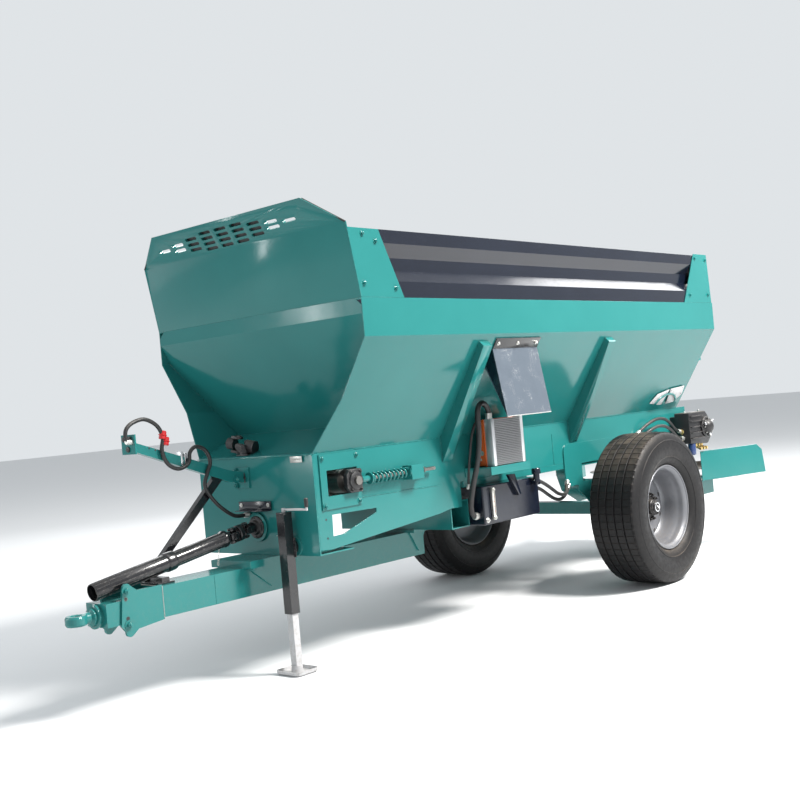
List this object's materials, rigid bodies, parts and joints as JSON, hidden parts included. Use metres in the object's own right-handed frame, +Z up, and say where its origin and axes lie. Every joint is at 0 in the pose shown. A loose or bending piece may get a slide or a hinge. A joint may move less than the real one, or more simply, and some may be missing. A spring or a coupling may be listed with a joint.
{
  "type": "manure spreader",
  "caption": "Towed single-axle hopper spreader with a chain conveyor, sliding rear gate, two spreading discs, swivel tow eye and a swing-away parking jack.",
  "frame": {"origin": "under the middle of the bounding box, on the ground", "axes": "+X forward to the tow eye, +Y to the left of the machine, +Z up"},
  "size_m": [6.14, 2.143, 2.5659],
  "materials": {
    "teal_paint": "glossy green-blue paint",
    "navy_steel": "smooth dark blue-grey coating",
    "shield_steel": "satin grey sheet",
    "black_paint": "semi-gloss black",
    "bare_steel": "worn bare steel",
    "silver_paint": "satin silver-grey paint",
    "white_paint": "white paint",
    "tyre_rubber": "matt black rubber",
    "hose_rubber": "black hose cover",
    "orange_shroud": "orange coated housing round an aluminium core"
  },
  "bodies": {
    "frame": {"arm_strut": "black_paint", "axle_beam": "teal_paint", "axle_hanger_left": "teal_paint", "axle_hanger_right": "teal_paint", "bed_plate": "teal_paint", "conveyor_gearbox": "black_paint", "conveyor_loop": "bare_steel", "cooler_bracket": "teal_paint", "cooler_return_hose": "hose_rubber", "cooler_shield": "shield_steel", "corner_bracket_front_left": "teal_paint", "corner_bracket_front_right": "teal_paint", "corner_bracket_rear_left": "teal_paint", "corner_bracket_rear_right": "teal_paint", "drawbar_beam": "teal_paint", "drive_shaft": "bare_steel", "extension_board_left": "navy_steel", "extension_board_rear": "navy_steel", "extension_board_right": "navy_steel", "front_hood": "teal_paint", "front_plate": "teal_paint", "gate_scale": "white_paint", "hitch_head": "teal_paint", "hopper_front_wall": "teal_paint", "hopper_rear_wall": "teal_paint", "hopper_side_left": "teal_paint", "hopper_side_right": "teal_paint", "hose_arm": "teal_paint", "idler_shaft": "bare_steel", "oil_cooler": "orange_shroud", "oil_tank": "navy_steel", "pto_input": "black_paint", "rear_cross_member": "teal_paint", "rear_deflector_left": "teal_paint", "rear_deflector_right": "teal_paint", "side_rib_front_left": "teal_paint", "side_rib_front_right": "teal_paint", "side_rib_rear_left": "teal_paint", "side_rib_rear_right": "teal_paint", "spinner_deck": "teal_paint", "supply_hose": "hose_rubber", "tensioner_plate_left": "teal_paint", "tensioner_plate_right": "teal_paint", "tensioner_screw_left": "bare_steel", "tensioner_screw_right": "bare_steel", "trough_frame": "teal_paint", "trough_side_left": "teal_paint", "trough_side_right": "teal_paint"},
    "wheel_left": {"tyre_left": "tyre_rubber", "wheel_rim_left": "silver_paint"},
    "wheel_right": {"tyre_right": "tyre_rubber", "wheel_rim_right": "silver_paint"},
    "disc_left": {"spinner_left": "bare_steel"},
    "disc_right": {"spinner_right": "bare_steel"},
    "eye": {"tow_eye": "teal_paint"},
    "shaft": {"pto_shaft": "black_paint"},
    "jack": {"jack_tube": "black_paint"},
    "foot": {"jack_leg": "white_paint"},
    "gate": {"rear_gate": "teal_paint"}
  },
  "joints": [
    {"name": "wheel_spin_left", "type": "hinge", "parent": "frame", "child": "wheel_left", "pos_m": [-1.1, 0.877, 0.536], "axis": [0, 1, 0], "continuous": true},
    {"name": "wheel_spin_right", "type": "hinge", "parent": "frame", "child": "wheel_right", "pos_m": [-1.1, -0.877, 0.536], "axis": [0, 1, 0], "continuous": true},
    {"name": "disc_spin_left", "type": "hinge", "parent": "frame", "child": "disc_left", "pos_m": [-2.725, 0.3, 0.66], "axis": [0, 0, 1], "continuous": true},
    {"name": "disc_spin_right", "type": "hinge", "parent": "frame", "child": "disc_right", "pos_m": [-2.725, -0.3, 0.66], "axis": [0, 0, 1], "continuous": true},
    {"name": "eye_swivel", "type": "hinge", "parent": "frame", "child": "eye", "pos_m": [2.9231, 0, 0.503], "axis": [1, 0, 0], "continuous": true},
    {"name": "shaft_lift", "type": "hinge", "parent": "frame", "child": "shaft", "pos_m": [1.865, 0, 0.795], "axis": [0, -1, 0], "range_deg": [0, 18]},
    {"name": "jack_swivel", "type": "hinge", "parent": "frame", "child": "jack", "pos_m": [1.862, 0.3, 0.69], "axis": [1, 0, 0], "range_deg": [0, 90]},
    {"name": "jack_wind", "type": "slide", "parent": "jack", "child": "foot", "axis": [0, 0, 1], "range_m": [0, 0.25]},
    {"name": "gate_lift", "type": "slide", "parent": "frame", "child": "gate", "axis": [0, 0, 1], "range_m": [0, 0.23]}
  ]
}
